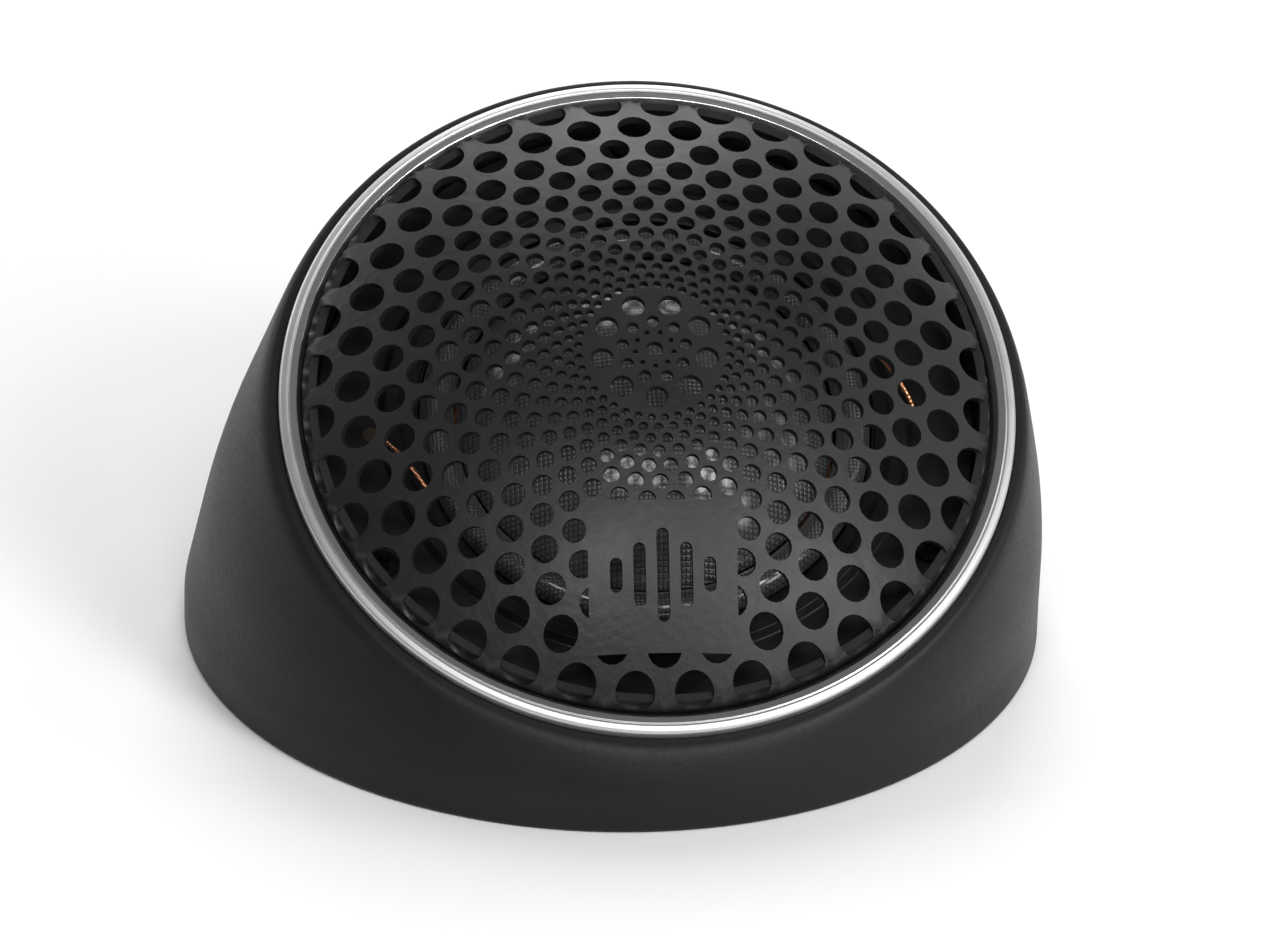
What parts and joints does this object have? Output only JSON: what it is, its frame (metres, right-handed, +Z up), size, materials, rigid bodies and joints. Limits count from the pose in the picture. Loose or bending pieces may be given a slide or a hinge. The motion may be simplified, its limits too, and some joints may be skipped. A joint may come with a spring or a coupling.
{
  "type": "car tweeter",
  "caption": "Angled car tweeter pod: round tilted housing, silver trim ring, domed perforated grille and a soft dome driver on a turning insert.",
  "frame": {"origin": "centre of the pod's base, on the surface that it stands on", "axes": "+Z up; the tweeter looks along -Y and up, 34 degrees from vertical; +X is to the right seen from the front"},
  "size_m": [0.0644, 0.0644, 0.0379],
  "materials": {
    "pod_black": "fine matt grain",
    "plate_black": "moulded matt",
    "foam": "closed-cell foam",
    "grommet_rubber": "soft matt",
    "trim_silver": "satin with a polished inner edge",
    "bezel_black": "satin",
    "grille_black": "fine powder coat",
    "faceplate_black": "moulded satin",
    "gasket_foam": "foam",
    "screw_steel": "black zinc",
    "frame_black": "glass-filled nylon",
    "cup_steel": "black e-coat",
    "magnet_nickel": "nickel plate",
    "pole_steel": "machined",
    "felt": "wool felt",
    "board": "phenolic board",
    "tab_tin": "tin plate",
    "dome_silk": "fine coated weave",
    "former_alu": "thin foil",
    "coil_copper": "enamelled copper"
  },
  "bodies": {
    "pod": {"pod_shell": "pod_black", "base_plate": "plate_black", "adhesive_pad": "foam", "cable_grommet": "grommet_rubber"},
    "insert": {"trim_ring": "trim_silver", "bezel": "bezel_black", "grille": "grille_black", "faceplate": "faceplate_black", "gasket": "gasket_foam", "driver_screws": "screw_steel", "driver_frame": "frame_black", "magnet_cup": "cup_steel", "magnet": "magnet_nickel", "pole_plate": "pole_steel", "damping_pad": "felt", "terminal_board": "board", "terminal_tabs": "tab_tin", "lead_wire_left": "coil_copper", "lead_wire_right": "coil_copper", "solder_pads": "tab_tin"},
    "diaphragm": {"dome": "dome_silk", "surround": "dome_silk", "coil_former": "former_alu", "voice_coil": "coil_copper"}
  },
  "joints": [
    {"name": "insert_twist", "type": "hinge", "parent": "pod", "child": "insert", "pos_m": [0.0016, -0.008, 0.0226], "axis": [0, -0.5592, 0.829], "range_deg": [0, 20]},
    {"name": "dome_travel", "type": "slide", "parent": "insert", "child": "diaphragm", "axis": [0, -0.5592, 0.829], "range_m": [-0.0003, 0.0003], "stiffness_N_per_m": 600}
  ]
}
